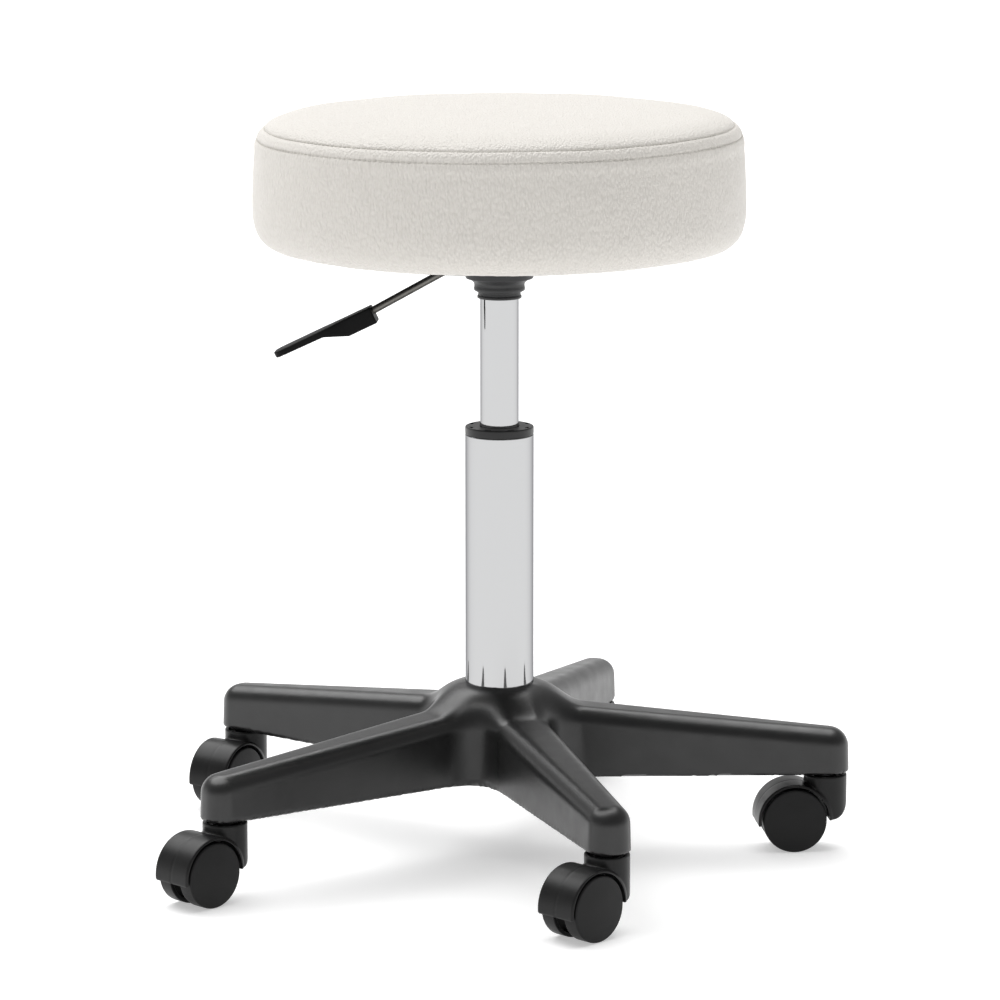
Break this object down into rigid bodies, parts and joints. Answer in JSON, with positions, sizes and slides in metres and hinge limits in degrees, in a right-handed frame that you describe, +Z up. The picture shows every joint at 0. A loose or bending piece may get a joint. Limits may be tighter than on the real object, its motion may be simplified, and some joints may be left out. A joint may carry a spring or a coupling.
{
  "type": "pedicure stool",
  "caption": "Low round padded stool with a gas lift and side lever, on a five-arm star base with hooded twin-wheel casters.",
  "frame": {"origin": "on the floor, on the axis of the column", "axes": "+Z up along the column; +X along the first arm of the base"},
  "size_m": [0.4994, 0.5231, 0.546],
  "materials": {
    "base_nylon": "satin moulded, fine texture",
    "spring_steel": "plain",
    "chrome": "polished plating",
    "sleeve_plastic": "satin",
    "bearing_steel": "ground",
    "brass_cage": "plain",
    "rod_steel": "ground",
    "seal_rubber": "matte",
    "seat_vinyl": "soft pebble grain, low sheen",
    "seat_foam": "open-cell foam",
    "plywood": "unfinished",
    "dust_cloth": "non-woven",
    "painted_plate": "black powder coat",
    "boot_rubber": "satin",
    "zinc_steel": "zinc plated",
    "lever_steel": "dark plated steel",
    "handle_plastic": "satin",
    "caster_plastic": "satin",
    "wheel_nylon": "satin"
  },
  "bodies": {
    "base": {"star_base": "base_nylon", "stem_grip_sleeves": "spring_steel", "outer_column": "chrome", "guide_sleeve": "sleeve_plastic", "thrust_washer_lower": "bearing_steel", "thrust_balls": "bearing_steel", "ball_cage": "brass_cage"},
    "lift_rod": {"piston_rod": "rod_steel", "retaining_clip": "spring_steel", "piston": "rod_steel", "piston_seal": "seal_rubber", "thrust_washer_upper": "bearing_steel", "rubber_buffer": "seal_rubber"},
    "seat": {"seat_cover": "seat_vinyl", "seat_foam": "seat_foam", "seat_board": "plywood", "tee_nuts": "zinc_steel", "dust_cloth": "dust_cloth", "cover_staples": "zinc_steel", "seat_plate": "painted_plate", "lift_housing": "painted_plate", "taper_socket": "painted_plate", "dust_boot": "boot_rubber", "lever_pivot_pin": "zinc_steel", "plate_washers": "zinc_steel", "plate_bolts": "zinc_steel", "gas_cylinder": "chrome", "cylinder_gland": "sleeve_plastic", "valve_body": "rod_steel"},
    "lever": {"lever_rod": "lever_steel", "lever_handle": "handle_plastic"},
    "valve": {"valve_button": "zinc_steel"},
    "caster_1": {"caster_1_hood": "caster_plastic", "caster_1_stem": "bearing_steel", "caster_1_axle": "bearing_steel"},
    "wheel_1_left": {"caster_1_wheel_left": "wheel_nylon"},
    "wheel_1_right": {"caster_1_wheel_right": "wheel_nylon"},
    "caster_2": {"caster_2_hood": "caster_plastic", "caster_2_stem": "bearing_steel", "caster_2_axle": "bearing_steel"},
    "wheel_2_left": {"caster_2_wheel_left": "wheel_nylon"},
    "wheel_2_right": {"caster_2_wheel_right": "wheel_nylon"},
    "caster_3": {"caster_3_hood": "caster_plastic", "caster_3_stem": "bearing_steel", "caster_3_axle": "bearing_steel"},
    "wheel_3_left": {"caster_3_wheel_left": "wheel_nylon"},
    "wheel_3_right": {"caster_3_wheel_right": "wheel_nylon"},
    "caster_4": {"caster_4_hood": "caster_plastic", "caster_4_stem": "bearing_steel", "caster_4_axle": "bearing_steel"},
    "wheel_4_left": {"caster_4_wheel_left": "wheel_nylon"},
    "wheel_4_right": {"caster_4_wheel_right": "wheel_nylon"},
    "caster_5": {"caster_5_hood": "caster_plastic", "caster_5_stem": "bearing_steel", "caster_5_axle": "bearing_steel"},
    "wheel_5_left": {"caster_5_wheel_left": "wheel_nylon"},
    "wheel_5_right": {"caster_5_wheel_right": "wheel_nylon"}
  },
  "joints": [
    {"name": "seat_swivel", "type": "hinge", "parent": "base", "child": "lift_rod", "pos_m": [0, 0, 0.07], "axis": [0, 0, 1], "continuous": true},
    {"name": "seat_lift", "type": "slide", "parent": "lift_rod", "child": "seat", "axis": [0, 0, 1], "range_m": [-0.088, 0.042]},
    {"name": "lever_tilt", "type": "hinge", "parent": "seat", "child": "lever", "pos_m": [-0.02195, 0.00153, 0.4376], "axis": [0.0698, 0.9976, 0], "range_deg": [0, 6.5], "stiffness_Nm_per_rad": 10, "springref_deg": -11.46},
    {"name": "valve_press", "type": "slide", "parent": "seat", "child": "valve", "axis": [0, 0, -1], "range_m": [0, 0.0025]},
    {"name": "caster_1_swivel", "type": "hinge", "parent": "base", "child": "caster_1", "pos_m": [0.24, 0, 0.056], "axis": [0, 0, 1], "continuous": true},
    {"name": "caster_1_spin_left", "type": "hinge", "parent": "caster_1", "child": "wheel_1_left", "pos_m": [0.21561, -0.00235, 0.0235], "axis": [-0.0958, 0.9954, 0], "continuous": true},
    {"name": "caster_1_spin_right", "type": "hinge", "parent": "caster_1", "child": "wheel_1_right", "pos_m": [0.21561, -0.00235, 0.0235], "axis": [-0.0958, 0.9954, 0], "continuous": true},
    {"name": "caster_2_swivel", "type": "hinge", "parent": "base", "child": "caster_2", "pos_m": [0.07416, 0.22825, 0.056], "axis": [0, 0, 1], "continuous": true},
    {"name": "caster_2_spin_left", "type": "hinge", "parent": "caster_2", "child": "wheel_2_left", "pos_m": [0.05295, 0.216, 0.0235], "axis": [-0.5, 0.866, 0], "continuous": true},
    {"name": "caster_2_spin_right", "type": "hinge", "parent": "caster_2", "child": "wheel_2_right", "pos_m": [0.05295, 0.216, 0.0235], "axis": [-0.5, 0.866, 0], "continuous": true},
    {"name": "caster_3_swivel", "type": "hinge", "parent": "base", "child": "caster_3", "pos_m": [-0.19416, 0.14107, 0.056], "axis": [0, 0, 1], "continuous": true},
    {"name": "caster_3_spin_left", "type": "hinge", "parent": "caster_3", "child": "wheel_3_left", "pos_m": [-0.20751, 0.12052, 0.0235], "axis": [-0.8387, 0.5446, 0], "continuous": true},
    {"name": "caster_3_spin_right", "type": "hinge", "parent": "caster_3", "child": "wheel_3_right", "pos_m": [-0.20751, 0.12052, 0.0235], "axis": [-0.8387, 0.5446, 0], "continuous": true},
    {"name": "caster_4_swivel", "type": "hinge", "parent": "base", "child": "caster_4", "pos_m": [-0.19416, -0.14107, 0.056], "axis": [0, 0, 1], "continuous": true},
    {"name": "caster_4_spin_left", "type": "hinge", "parent": "caster_4", "child": "wheel_4_left", "pos_m": [-0.21134, -0.15854, 0.0235], "axis": [-0.7133, 0.7009, 0], "continuous": true},
    {"name": "caster_4_spin_right", "type": "hinge", "parent": "caster_4", "child": "wheel_4_right", "pos_m": [-0.21134, -0.15854, 0.0235], "axis": [-0.7133, 0.7009, 0], "continuous": true},
    {"name": "caster_5_swivel", "type": "hinge", "parent": "base", "child": "caster_5", "pos_m": [0.07416, -0.22825, 0.056], "axis": [0, 0, 1], "continuous": true},
    {"name": "caster_5_spin_left", "type": "hinge", "parent": "caster_5", "child": "wheel_5_left", "pos_m": [0.05684, -0.24558, 0.0235], "axis": [-0.7071, 0.7071, 0], "continuous": true},
    {"name": "caster_5_spin_right", "type": "hinge", "parent": "caster_5", "child": "wheel_5_right", "pos_m": [0.05684, -0.24558, 0.0235], "axis": [-0.7071, 0.7071, 0], "continuous": true}
  ],
  "couplings": [
    {"joint": "valve_press", "follows": "lever_tilt", "m_per_rad": 0.022}
  ]
}
